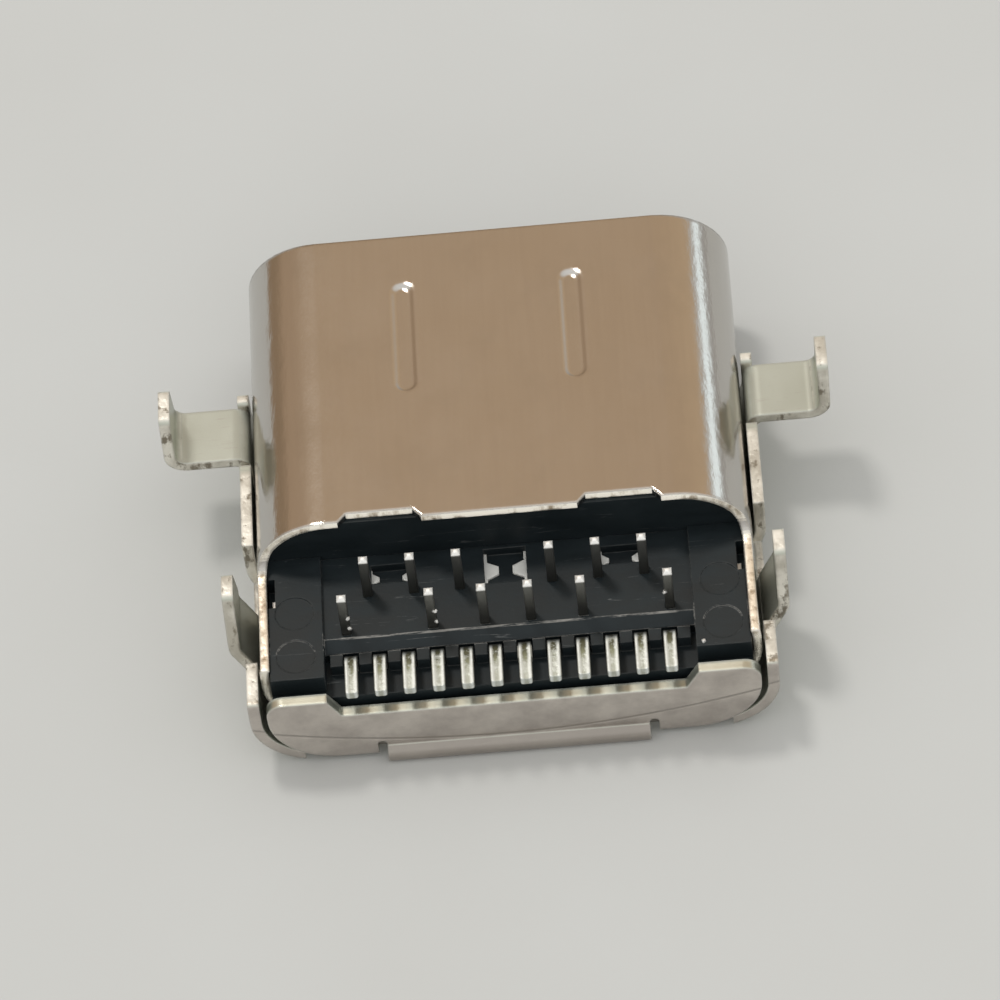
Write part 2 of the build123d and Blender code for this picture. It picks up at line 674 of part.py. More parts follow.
with BuildPart() as upper_insulator:
    block_top = BOARD_PLANE + BLOCK_RISE
    # side blocks and panel share one section between the split and the block's top
    with BuildSketch(cross_plane(BACK_FACE)):
        tube_section(INSULATOR_CLEARANCE)
        with Locations((0, SPLIT_Z)):
            Rectangle(
                SHELL_WIDTH, OPENING_HEIGHT, align=(Align.CENTER, Align.MAX), mode=Mode.SUBTRACT
            )
        with Locations((0, block_top)):
            Rectangle(
                SHELL_WIDTH, OPENING_HEIGHT, align=(Align.CENTER, Align.MIN), mode=Mode.SUBTRACT
            )
    extrude(amount=BACK_FACE - from_rear(BLOCK_REAR))
    # panel lowered between the side blocks, chamfered at its rear edge
    with BuildSketch(side_plane(-PANEL_HALF_WIDTH)):
        with BuildLine():
            panel_rear = from_rear(PANEL_REAR)
            Polyline(
                (BACK_FACE, PANEL_TOP),
                (panel_rear + PANEL_CHAMFER_LENGTH, PANEL_TOP),
                (panel_rear, PANEL_TOP - PANEL_CHAMFER_DROP),
                (panel_rear, SPLIT_Z),
                (from_rear(0), SPLIT_Z),
                (from_rear(0), SHELL_TOP),
                (BACK_FACE, SHELL_TOP),
                close=True,
            )
        make_face()
    extrude(amount=2 * PANEL_HALF_WIDTH, mode=Mode.SUBTRACT)
    # windows through which the joining bars are sheared
    window_width = 2 * (PIN_OFFSETS[0] - RUN_WIDTH / 2 + WINDOW_LAP)
    bar_ends = [PIN_OFFSETS[PIN_BARS.index(way)] for way in ("outward", "inward")]
    side_window = sum(bar_ends) / 2
    side_window_width = bar_ends[1] - bar_ends[0] - RUN_WIDTH + COMB_RIB_GAP
    with BuildSketch(Plane.XY.offset(PANEL_TOP)):
        with Locations((0, MIDDLE_WINDOW_Y)):
            Rectangle(window_width, WINDOW_LENGTH)
        with Locations((-side_window, SIDE_WINDOW_Y), (side_window, SIDE_WINDOW_Y)):
            Rectangle(side_window_width, SIDE_WINDOW_LENGTH)
    extrude(amount=-WINDOW_DEPTH, mode=Mode.SUBTRACT)
    # ejector marks and the pockets round the plate's ears
    ejector_x = (PANEL_HALF_WIDTH + OPENING_WIDTH / 2) / 2
    with BuildSketch(Plane.XY.offset(block_top)):
        for station in EJECTOR_STATIONS:
            with Locations((-ejector_x, from_rear(station)), (ejector_x, from_rear(station))):
                Circle(EJECTOR_RADIUS)
    extrude(amount=-EJECTOR_DEPTH, mode=Mode.SUBTRACT)
    pocket_y = from_rear(EAR_POCKET_REAR) + EAR_POCKET_LENGTH / 2
    with BuildSketch(Plane.XY.offset(AXIS_Z - PLATE_THICKNESS / 2)):
        with Locations((-OPENING_WIDTH / 2, pocket_y), (OPENING_WIDTH / 2, pocket_y)):
            Rectangle(2 * EAR_POCKET_DEPTH, EAR_POCKET_LENGTH)
    extrude(amount=SHELL_HEIGHT, mode=Mode.SUBTRACT)
    for label, contact in contacts.items():
        if label.startswith("pin"):
            add(contact, mode=Mode.SUBTRACT)
    add(mid_plate.part, mode=Mode.SUBTRACT)

finish(upper_insulator, "upper_insulator")

with BuildPart() as tongue:
    # back wall, root and tongue
    with BuildSketch(cross_plane(CAVITY_FLOOR)):
        tube_section(INSULATOR_CLEARANCE)
    extrude(amount=BACK_WALL)
    with BuildSketch(cross_plane(CAVITY_FLOOR + ROOT_LENGTH)):
        with Locations((0, AXIS_Z)):
            RectangleRounded(TONGUE_WIDTH + 2 * ROOT_STEP, ROOT_THICKNESS, ROOT_RADIUS)
    extrude(amount=ROOT_LENGTH)
    with BuildSketch(cross_plane(TONGUE_TIP)):
        with Locations((0, AXIS_Z)):
            Rectangle(TONGUE_WIDTH, TONGUE_THICKNESS)
    extrude(amount=TONGUE_TIP - CAVITY_FLOOR)
    tip_face = tongue.faces().filter_by(Axis.Y).sort_by(Axis.Y)[-1]
    chamfer(tip_face.edges(), length=TONGUE_TIP_CHAMFER)
    with BuildSketch(Plane.XY.offset(AXIS_Z - TONGUE_THICKNESS)):
        notch_y = TONGUE_TIP - LATCH_NOTCH_SETBACK
        with Locations((-TONGUE_WIDTH / 2, notch_y), (TONGUE_WIDTH / 2, notch_y)):
            Rectangle(2 * LATCH_NOTCH_DEPTH, LATCH_NOTCH_LENGTH)
    extrude(amount=2 * TONGUE_THICKNESS, mode=Mode.SUBTRACT)
    for contact in contacts.values():
        add(contact, mode=Mode.SUBTRACT)
    add(mid_plate.part, mode=Mode.SUBTRACT)

finish(tongue, "tongue")

# ---------------------------------------------------------------- ground pads

for label, sign in (("upper_ground_pad", 1), ("lower_ground_pad", -1)):
    seat_z = AXIS_Z + sign * ROOT_THICKNESS / 2
    wall_z = AXIS_Z + sign * (OPENING_HEIGHT / 2 - INSULATOR_CLEARANCE)
    with BuildPart() as ground_pad:
        with BuildSketch(side_plane(-ROW_HALF_WIDTH)):
            strip_face(
                (
                    (CAVITY_FLOOR + ROOT_LENGTH, seat_z),
                    (CAVITY_FLOOR, seat_z),
                    (CAVITY_FLOOR, wall_z),
                ),
                PAD_RADIUS,
                PAD_THICKNESS,
                Side.RIGHT if sign > 0 else Side.LEFT,
            )
        extrude(amount=2 * ROW_HALF_WIDTH)
        # the flange is slotted into spring fingers that bear on the shell
        with BuildSketch(cross_plane(CAVITY_FLOOR + 2 * PAD_THICKNESS)):
            with Locations((0, wall_z)):
                with GridLocations(4 * PAD_SLOT, 1, 3, 1):
                    Rectangle(PAD_SLOT, PAD_SLOT)
        extrude(amount=3 * PAD_THICKNESS, mode=Mode.SUBTRACT)
        with BuildSketch(cross_plane(CAVITY_FLOOR + ROOT_LENGTH)):
            tube_section(INSULATOR_CLEARANCE)
        extrude(amount=ROOT_LENGTH, mode=Mode.INTERSECT)
    finish(ground_pad, label)
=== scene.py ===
"""Looks of a mid-mount USB-C receptacle: its finishes, the floor, the light and the camera."""

import json
import math

import bmesh
import bpy
from mathutils import Matrix, Vector


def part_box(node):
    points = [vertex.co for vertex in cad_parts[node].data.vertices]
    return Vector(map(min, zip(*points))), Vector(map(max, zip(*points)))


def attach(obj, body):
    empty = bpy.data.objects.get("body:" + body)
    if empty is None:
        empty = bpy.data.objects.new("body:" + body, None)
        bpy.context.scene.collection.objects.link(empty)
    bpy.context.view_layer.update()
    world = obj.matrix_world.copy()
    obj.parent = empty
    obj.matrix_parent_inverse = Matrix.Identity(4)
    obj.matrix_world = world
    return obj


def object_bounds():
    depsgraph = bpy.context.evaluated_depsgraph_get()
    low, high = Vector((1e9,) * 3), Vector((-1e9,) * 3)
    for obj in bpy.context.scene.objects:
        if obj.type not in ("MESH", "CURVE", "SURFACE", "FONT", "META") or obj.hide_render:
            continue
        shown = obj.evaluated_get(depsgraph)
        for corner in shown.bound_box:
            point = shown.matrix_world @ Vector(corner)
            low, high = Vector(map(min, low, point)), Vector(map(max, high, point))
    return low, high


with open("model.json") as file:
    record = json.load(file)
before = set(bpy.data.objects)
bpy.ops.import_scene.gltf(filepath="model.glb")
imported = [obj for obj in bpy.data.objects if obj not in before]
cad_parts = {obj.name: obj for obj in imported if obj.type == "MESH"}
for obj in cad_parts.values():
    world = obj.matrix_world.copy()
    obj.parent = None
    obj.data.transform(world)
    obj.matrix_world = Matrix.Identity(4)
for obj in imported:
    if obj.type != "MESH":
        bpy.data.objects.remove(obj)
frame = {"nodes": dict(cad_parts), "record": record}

cad_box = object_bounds()
MM = 0.001

# ------------------------------------------------ sizes read from the frame, in millimetres

shell_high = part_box("mating_shell")[1] / MM
cover_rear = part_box("outer_bracket")[0].y / MM
block_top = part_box("upper_insulator")[1].z / MM
pin_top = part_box("pin_contact_01")[1].z / MM

TAILS = 12
PANEL_SETBACK = 0.97  # from the tails' tips to the panel's rear
BAR_DROP = 0.15  # from the tails' tops to the sheared bars at the bottom of the panel's windows
first_tail, last_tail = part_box("tail_contact_01"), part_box("tail_contact_12")
tail_pitch = (last_tail[0].x - first_tail[0].x) / (TAILS - 1) / MM
tail_middle = (first_tail[0].x + first_tail[1].x) / 2 / MM
tail_rear, tail_top = first_tail[0].y / MM, first_tail[1].z / MM
tails_end = last_tail[1].x / MM
panel_rear = tail_rear + PANEL_SETBACK
bar_top = tail_top - BAR_DROP

# ------------------------------------------------ node helpers


def node(tree, kind, inputs=None, **settings):
    """A shader node with its settings, its values and its incoming links."""
    made = tree.nodes.new("ShaderNode" + kind)
    for name, value in settings.items():
        setattr(made, name, value)
    for name, value in (inputs or {}).items():
        if isinstance(value, bpy.types.NodeSocket):
            tree.links.new(value, made.inputs[name])
        else:
            made.inputs[name].default_value = value
    return made


def math_node(tree, operation, first, second=0.0, clamp=False):
    values = {0: first, 1: second}
    return node(tree, "Math", values, operation=operation, use_clamp=clamp).outputs[0]


def vector_node(tree, operation, first, second=(0, 0, 0), output=0):
    return node(tree, "VectorMath", {0: first, 1: second}, operation=operation).outputs[output]


def product(tree, first, *others):
    for other in others:
        first = math_node(tree, "MULTIPLY", first, other)
    return first


def total(tree, first, second):
    return math_node(tree, "ADD", first, second)


def difference(tree, first, second):
    return math_node(tree, "SUBTRACT", first, second)


def larger(tree, first, second):
    return math_node(tree, "MAXIMUM", first, second)


def size_of(tree, value):
    return math_node(tree, "ABSOLUTE", value)


def components(tree, vector):
    parts = node(tree, "SeparateXYZ", {0: vector})
    return parts.outputs[0], parts.outputs[1], parts.outputs[2]


def millimetres(tree):
    """Object coordinates in millimetres, so that noise scales are features per millimetre."""
    place = node(tree, "TexCoord").outputs["Object"]
    return node(tree, "VectorMath", {0: place, "Scale": 1 / MM}, operation="SCALE").outputs[0]


def facing(tree):
    """Components of the surface's own direction, before any bump."""
    return components(tree, node(tree, "NewGeometry").outputs["True Normal"])


def noise(tree, place, scale, detail=3.0, roughness=0.55):
    """Noise with a number of features per millimetre, or with one number for each axis."""
    if isinstance(scale, tuple):
        place = vector_node(tree, "MULTIPLY", place, scale)
        scale = 1.0
    values = {"Vector": place, "Scale": scale, "Detail": detail, "Roughness": roughness}
    return node(tree, "TexNoise", values).outputs[0]


def remap(tree, value, low, high, to_low=0.0, to_high=1.0, smooth=False):
    """A value carried from low..high to to_low..to_high, and held beyond them."""
    values = {
        "Value": value,
        "From Min": low,
        "From Max": high,
        "To Min": to_low,
        "To Max": to_high,
    }
    kind = "SMOOTHSTEP" if smooth else "LINEAR"
    return node(tree, "MapRange", values, interpolation_type=kind, clamp=True).outputs[0]


def between(tree, value, low, high, soft=0.02):
    """1 where a value lies between two limits."""
    above = remap(tree, value, low - soft, low)
    below = remap(tree, value, high + soft, high)
    return product(tree, above, below)


def mix(tree, factor, first, second):
    """Colour mix: first where the factor is 0, second where it is 1."""
    made = node(tree, "Mix", {"Factor": factor}, data_type="RGBA")
    for socket, colour in ((made.inputs[6], first), (made.inputs[7], second)):
        if isinstance(colour, bpy.types.NodeSocket):
            tree.links.new(colour, socket)
        else:
            socket.default_value = (*colour, 1)
    return made.outputs[2]


def bump(tree, height, distance, strength=1.0, normal=None):
    values = {"Height": height, "Distance": distance * MM, "Strength": strength}
    if normal:
        values["Normal"] = normal
    return node(tree, "Bump", values).outputs[0]


def rounded_edges(tree, radius, sharpest=0.8, flattest=0.995):
    """Normal that rounds sharp edges over a radius, and a mask that is 1 on those edges."""
    rounded = node(tree, "Bevel", {"Radius": radius * MM}, samples=6).outputs[0]
    flat = node(tree, "NewGeometry").outputs["Normal"]
    alike = vector_node(tree, "DOT_PRODUCT", rounded, flat, output="Value")
    return rounded, remap(tree, alike, flattest, sharpest)


def material(name, metallic, roughness=0.3):
    made = bpy.data.materials.new(name)
    made.use_nodes = True
    tree = made.node_tree
    shader = tree.nodes["Principled BSDF"]
    shader.inputs["Metallic"].default_value = metallic
    shader.inputs["Roughness"].default_value = roughness
    return made, tree, shader


def join(tree, shader, **sockets):
    for name, socket in sockets.items():
        tree.links.new(socket, shader.inputs[name.replace("_", " ").title()])


# where a noise's values lie: nearly all of them, and its middle
NOISE_SPAN = 0.3, 0.7
NOISE_CORE = 0.35, 0.65

# ------------------------------------------------ sheared sheet

# share of a face's direction from which it starts to look that way, and does so in full
TURNING, TURNED = 0.8, 0.95


def looks_up(tree, upward):
    return remap(tree, upward, TURNING, TURNED)


def torn_bump(tree, tearing, cut, normal):
    return bump(tree, product(tree, tearing, cut), distance=0.04, strength=0.5, normal=normal)


# ------------------------------------------------ shell

DRAWN_STEEL = (0.545, 0.523, 0.495), (0.56, 0.54, 0.51)
SMUDGED_STEEL = (0.52, 0.502, 0.476)
TORN_STEEL = (0.40, 0.33, 0.24), (1.0, 0.95, 0.84)
EDGE_HIGHLIGHT_STEEL = (1.0, 0.98, 0.92)
SHELL_EDGE = 0.09
SHELL_WALL_REACH = 0.2, 0.16  # from the shell's side to the inside of its wall's cut top
PEBBLE_REACH = 1.4, 1.0  # from the shell's side to where its corners start and end
ROLL_OVER = 1.15  # how far sheared faces turn up, against their own direction
ROLL_DEPTH = 0.17, 0.1  # below the shell's top
ROLL_RAGGEDNESS = 0.06


def roll_over(tree, cut, tearing, z, normal):
    """Shearing rounds a face over: it looks partly up, most near the sheet's outer side."""
    ragged = total(tree, z, remap(tree, tearing, *NOISE_SPAN, -ROLL_RAGGEDNESS, ROLL_RAGGEDNESS))
    foot, top = (shell_high.z - depth for depth in ROLL_DEPTH)
    upper = remap(tree, ragged, foot, top, 0.35, 1.0)
    lift = node(tree, "CombineXYZ", {2: product(tree, cut, upper, ROLL_OVER)}).outputs[0]
    return vector_node(tree, "NORMALIZE", vector_node(tree, "ADD", normal, lift))


def shell_steel():
    """Bright drawn stainless sheet with faint draw marks; its sheared edges are pale and torn, and
    its edges carry a painted highlight.
    """
    made, tree, shader = material("shell_steel", metallic=1.0)
    place = millimetres(tree)
    x, _, z = components(tree, place)
    _, ahead, upward = facing(tree)
    rounded, edge = rounded_edges(tree, SHELL_EDGE)
    grain = noise(tree, place, 26, detail=4)
    draw_marks = noise(tree, place, (11, 0.5, 11), detail=4)
    haze = noise(tree, place, 0.7, detail=3)
    smudges = noise(tree, place, (1.1, 0.8, 1), detail=5, roughness=0.65)
    tearing = noise(tree, place, (4, 4, 2), detail=4, roughness=0.6)
    pebbles = noise(tree, place, (5, 2.5, 5), detail=4, roughness=0.6)

    # sheared faces look to the rear, or up along the low side walls; the mouth's rim is smooth
    wall_start, wall_end = (shell_high.x - reach for reach in SHELL_WALL_REACH)
    on_wall = remap(tree, size_of(tree, x), wall_start, wall_end)
    cut = remap(tree, ahead, -TURNING, -TURNED)
    cut = larger(tree, cut, product(tree, on_wall, looks_up(tree, upward)))

    sheet = mix(tree, remap(tree, draw_marks, *NOISE_SPAN), *DRAWN_STEEL)
    sheet = mix(tree, remap(tree, smudges, 0.5, 0.68, 0, 0.6), sheet, SMUDGED_STEEL)
    torn = mix(tree, remap(tree, tearing, 0.34, 0.52), *TORN_STEEL)
    colour = mix(tree, cut, sheet, torn)
    # painted highlight: edges are mixed toward near white, most on the sheared rims
    edge_highlight = product(tree, edge, remap(tree, cut, 0, 1, 0.3, 0.8))
    colour = mix(tree, edge_highlight, colour, EDGE_HIGHLIGHT_STEEL)

    rough = remap(tree, haze, *NOISE_SPAN, 0.12, 0.15)
    rough = total(tree, rough, remap(tree, grain, *NOISE_SPAN, 0, 0.03))
    rough = total(tree, rough, product(tree, cut, 0.14))
    metal = difference(tree, 1.0, product(tree, cut, 0.25))

    # the drawn corners are slightly pebbled
    corner_start, corner_end = (shell_high.x - reach for reach in PEBBLE_REACH)
    corner = remap(tree, size_of(tree, x), corner_start, corner_end)
    normal = bump(tree, grain, distance=0.003, strength=0.2, normal=rounded)
    normal = bump(tree, product(tree, pebbles, corner), distance=0.012, strength=0.6, normal=normal)
    normal = torn_bump(tree, tearing, cut, normal)
    normal = roll_over(tree, cut, tearing, z, normal)
    join(tree, shader, base_color=colour, roughness=rough, normal=normal, metallic=metal)
    return made


# ------------------------------------------------ bracket

TIN = (0.54, 0.56, 0.485), (0.63, 0.65, 0.575)
TAB_TOP_TONE_AND_SHADE = (0.49, 0.505, 0.44)
SHADED_TIN = (0.45, 0.41, 0.375), (0.61, 0.565, 0.515)
LIP_SHADE_TIN = (0.34, 0.31, 0.28)
SCUFFED_TIN = (0.42, 0.39, 0.35)
TORN_TIN = (0.56, 0.53, 0.46), (0.88, 0.85, 0.77)
TORN_TIN_PIT = (0.26, 0.23, 0.18)
CREASE_SHADE_TIN = (0.2, 0.18, 0.16)
RUBBED_AND_HIGHLIT_TIN = (0.92, 0.92, 0.86)
BRACKET_EDGE = 0.07
TAB_DROP = 0.26  # of the front legs' tabs, below the tails' tops
TAB_REAR = 0.4, 0.5  # along the part, where the zone of those tabs begins
COVER_DEPTH = 0.55, 0.45  # of the zone that holds the folded cover, from its rear
LIP_DEPTH = 0.165, 0.15  # from its rear
COVER_SHEEN = 0.4, 0.3  # of the level sheet close to the cover, from its rear
CREASE_FOOT, CREASE_BOW, CREASE_SLANT, CREASE_WIDTH = 0.4, 0.035, 0.02, 0.05


def crease_line(tree, x, z):
    """A line along the foot of the cover that rises to both sides."""
    foot = total(tree, product(tree, x, x, CREASE_BOW), CREASE_FOOT)
    above = difference(tree, difference(tree, z, foot), product(tree, x, CREASE_SLANT))
    return remap(tree, size_of(tree, above), CREASE_WIDTH, 0.0, smooth=True)


def bracket_steel():
    """Matte tin over steel sheet: pale, a little green, with scuffs and pale torn edges."""
    made, tree, shader = material("bracket_steel", metallic=0.6)
    place = millimetres(tree)
    x, y, z = components(tree, place)
    _, ahead, upward = facing(tree)
    rounded, edge = rounded_edges(tree, BRACKET_EDGE)
    grain = noise(tree, place, 30, detail=4)
    mottle = noise(tree, place, 1.6, detail=4, roughness=0.6)
    scuffs = noise(tree, place, (2.2, 16, 16), detail=3, roughness=0.7)
    tearing = noise(tree, place, (4.5, 4.5, 2.2), detail=4, roughness=0.6)

    # sheared faces: those across the part ahead of the cover, and the tops of walls and legs,
    # but not the front legs' tabs, which are level sheet
    cover_end, cover_start = (cover_rear + depth for depth in COVER_DEPTH)
    across = remap(tree, size_of(tree, ahead), TURNING, TURNED)
    across = product(tree, across, remap(tree, y, cover_start, cover_end))
    outside = remap(tree, size_of(tree, x), shell_high.x, shell_high.x + 0.04)
    tab_level = between(tree, z, tail_top - TAB_DROP, tail_top + 0.02, 0.01)
    on_tab = product(tree, tab_level, remap(tree, y, *TAB_REAR))
    top = product(tree, outside, looks_up(tree, upward), difference(tree, 1.0, on_tab))
    cut = larger(tree, across, top)

    # painted shade: the rear-facing side of the folded cover is painted darker, and its lip darker
    # still
    lip = remap(tree, y, *(cover_rear + depth for depth in LIP_DEPTH))
    behind = remap(tree, ahead, -0.5, -0.8)
    behind = product(tree, behind, remap(tree, y, cover_end, cover_start))
    behind = larger(tree, behind, lip)
    # painted shade: a dark line along the fold at the foot of the cover, patchy with the mottle
    crease_strength = product(tree, behind, remap(tree, mottle, 0.3, 0.6, 0.4, 1.0))
    crease = product(tree, crease_line(tree, x, z), crease_strength)

    sheet = mix(tree, remap(tree, mottle, *NOISE_CORE), *TIN)
    # the tabs' upward faces are greener and darker: own tone with painted shade
    sheet = mix(tree, product(tree, on_tab, looks_up(tree, upward)), sheet, TAB_TOP_TONE_AND_SHADE)
    shaded_cover = mix(tree, remap(tree, mottle, *NOISE_CORE), *SHADED_TIN)
    shaded_cover = mix(tree, product(tree, lip, 0.8), shaded_cover, LIP_SHADE_TIN)
    sheet = mix(tree, behind, sheet, shaded_cover)
    sheet = mix(tree, remap(tree, scuffs, 0.6, 0.72, 0, 0.5), sheet, SCUFFED_TIN)
    sheet = mix(tree, product(tree, crease, 0.45), sheet, CREASE_SHADE_TIN)
    torn = mix(tree, remap(tree, mottle, 0.4, 0.6), *TORN_TIN)
    torn = mix(tree, remap(tree, tearing, 0.36, 0.44), TORN_TIN_PIT, torn)
    colour = mix(tree, cut, sheet, torn)
    # edges are paler: partly rubbed wear, partly painted highlight
    colour = mix(tree, product(tree, edge, 0.4), colour, RUBBED_AND_HIGHLIT_TIN)

    # level sheet is matter than upright sheet, except close to the cover
    metal = remap(tree, size_of(tree, upward), 0.3, 0.9, 0.85, 0.3)
    sheen_start, sheen_full = (cover_rear + depth for depth in COVER_SHEEN)
    metal = larger(tree, metal, remap(tree, y, sheen_start, sheen_full, 0.0, 0.85))
    metal = math_node(tree, "SUBTRACT", metal, product(tree, behind, 0.2), clamp=True)
    rough = remap(tree, mottle, *NOISE_SPAN, 0.28, 0.4)
    normal = bump(tree, grain, distance=0.004, strength=0.3, normal=rounded)
    normal = bump(tree, crease, distance=-0.015, strength=0.8, normal=normal)
    normal = torn_bump(tree, tearing, cut, normal)
    join(tree, shader, base_color=colour, roughness=rough, normal=normal, metallic=metal)
    return made


# ------------------------------------------------ plate

ROLLED_STEEL = (0.78, 0.78, 0.77), (0.90, 0.90, 0.89)
ROLLED_STEEL_EDGE = (0.85, 0.84, 0.8)
PLATE_EDGE = 0.03


def plate_steel():
    """Stamped stainless of the mid plate and the ground pads."""
    made, tree, shader = material("plate_steel", metallic=0.6)
    place = millimetres(tree)
    rounded, edge = rounded_edges(tree, PLATE_EDGE)
    grain = noise(tree, place, 24, detail=4)
    rolling = noise(tree, place, (12, 1.5, 12), detail=3)
    colour = mix(tree, remap(tree, rolling, *NOISE_SPAN), *ROLLED_STEEL)
    colour = mix(tree, edge, colour, ROLLED_STEEL_EDGE)
    rough = remap(tree, rolling, *NOISE_SPAN, 0.26, 0.38)
    normal = bump(tree, grain, distance=0.004, strength=0.3, normal=rounded)
    join(tree, shader, base_color=colour, roughness=rough, normal=normal)
    return made


# ------------------------------------------------ contacts

PLATING = (0.68, 0.715, 0.685), (0.85, 0.885, 0.87)
GROOVE_TONE_AND_SHADE = (0.25, 0.26, 0.17), (0.09, 0.09, 0.05)
FLANK_SHADE = (0.2, 0.2, 0.17)
BEND_SHADE = (0.04, 0.04, 0.035)
PIN_SHADE = (0.12, 0.12, 0.11), (0.27, 0.27, 0.255)
BAR_PAINTED_LIGHT = (1.0, 1.0, 0.96)
TIP_HIGHLIGHT = (1.0, 1.0, 0.98)
CONTACT_EDGE = 0.045
TAIL_LENGTH = 1.0  # of the zone that holds the tails, from their tips
GROOVE_WIDTH = 0.14, 0.05  # from a tail's middle, in pitches
FLANK_WIDTH = 0.18, 0.205


def contact_metal():
    """Tin-plated copper alloy: bright matte tails with a coined groove, smoother pins with painted
    shade.
    """
    made, tree, shader = material("contact_metal", metallic=0.4)
    place = millimetres(tree)
    x, y, z = components(tree, place)
    _, ahead, upward = facing(tree)
    rounded, _ = rounded_edges(tree, CONTACT_EDGE)
    grain = noise(tree, place, 34, detail=4)
    mottle = noise(tree, place, 6, detail=4, roughness=0.7)
    plating = mix(tree, remap(tree, mottle, *NOISE_CORE), *PLATING)

    # one dark coined groove along the middle of each tail, stronger away from its tip, and darker
    # still with painted shade toward the bend
    on_tail = remap(tree, y, tail_rear + TAIL_LENGTH, tail_rear + TAIL_LENGTH - 0.05)
    turns = math_node(tree, "DIVIDE", difference(tree, x, tail_middle), tail_pitch)
    off_centre = size_of(tree, difference(tree, turns, math_node(tree, "ROUND", turns)))
    along = remap(tree, y, tail_rear + 0.3, tail_rear + 0.6, 0.65, 1.5)
    groove = product(tree, remap(tree, off_centre, *GROOVE_WIDTH), along, on_tail)
    patches = remap(tree, mottle, 0.36, 0.56, 0.3, 1.0)
    groove = math_node(tree, "MULTIPLY", groove, patches, clamp=True)
    shade_near_bend = remap(tree, y, tail_rear + 0.45, tail_rear + 0.6)
    colour = mix(tree, groove, plating, mix(tree, shade_near_bend, *GROOVE_TONE_AND_SHADE))

    # painted shade: the tails' flanks are painted darker, and the bend at the far end is painted
    # nearly black where it dives into its pocket
    flank_shade = product(tree, remap(tree, off_centre, *FLANK_WIDTH), on_tail, 0.85)
    colour = mix(tree, flank_shade, colour, FLANK_SHADE)
    bend_shade = product(tree, remap(tree, ahead, 0.15, 0.6, 0, 0.9), on_tail)
    colour = mix(tree, bend_shade, colour, BEND_SHADE)

    # painted light: the sheared bars at the bottom of the panel's windows are painted near white
    # against the shade of their pits
    in_pit = remap(tree, z, bar_top + 0.01, bar_top - 0.01)
    past_tails = remap(tree, y, tail_rear + TAIL_LENGTH, tail_rear + TAIL_LENGTH + 0.05)
    in_pit = product(tree, in_pit, past_tails)
    colour = mix(tree, in_pit, colour, BAR_PAINTED_LIGHT)

    # the pins stand above the tails; their shafts carry painted shade, darker towards the bottom,
    # and their tips a painted highlight
    shaft = between(tree, z, bar_top + 0.01, pin_top, 0.03)
    shaft = product(tree, shaft, difference(tree, 1.0, on_tail), remap(tree, upward, 0.85, 0.5))
    height = remap(tree, z, tail_top + 0.1, pin_top - 0.1)
    colour = mix(tree, shaft, colour, mix(tree, height, *PIN_SHADE))
    colour = mix(tree, remap(tree, z, pin_top - 0.08, pin_top - 0.04), colour, TIP_HIGHLIGHT)

    rough = remap(tree, mottle, *NOISE_SPAN, 0.34, 0.46)
    metal = difference(tree, remap(tree, shaft, 0, 1, 0.4, 0.9), product(tree, in_pit, 0.4))
    normal = bump(tree, grain, distance=0.005, strength=0.35, normal=rounded)
    normal = bump(tree, difference(tree, 1.0, groove), distance=0.02, strength=0.6, normal=normal)
    join(tree, shader, base_color=colour, roughness=rough, normal=normal, metallic=metal)
    return made


# ------------------------------------------------ mouldings

BLACK = (0.0095, 0.0150, 0.0180), (0.0140, 0.0215, 0.0255)
SCRATCHED_BLACK = (0.3, 0.31, 0.31)
WORN_AND_HIGHLIT_BLACK = (0.34, 0.33, 0.31)
MOULDING_EDGE = 0.035
CHAMFER_EDGE = 0.03
CHAMFER_REACH = -0.06, 0.28  # along the part, from the panel's rear
CHAMFER_DROP = 0.3, 0.25  # of its foot, below the tails' tops
RIDGE_REACH = 0.205, 0.235  # of the ridge above the chamfer


def panel_wear_and_highlight(tree, x, y, z, breaks):
    """The panel's rear chamfer is lighter along its edges, and along the ridge above them: partly
    rubbed wear, partly painted highlight.
    """
    low, high = (panel_rear + reach for reach in CHAMFER_REACH)
    at_chamfer = between(tree, y, low, high)
    drop_start, drop_end = (tail_top - drop for drop in CHAMFER_DROP)
    at_chamfer = product(tree, at_chamfer, remap(tree, z, drop_start, drop_end))
    chamfer_edge = product(tree, at_chamfer, rounded_edges(tree, CHAMFER_EDGE, 0.975, 0.999)[1])
    low, high = (panel_rear + reach for reach in RIDGE_REACH)
    on_panel = remap(tree, size_of(tree, x), tails_end + 0.06, tails_end)
    ridge = product(tree, between(tree, y, low, high, 0.01), on_panel)
    return chamfer_edge, product(tree, ridge, remap(tree, breaks, 0.42, 0.54))


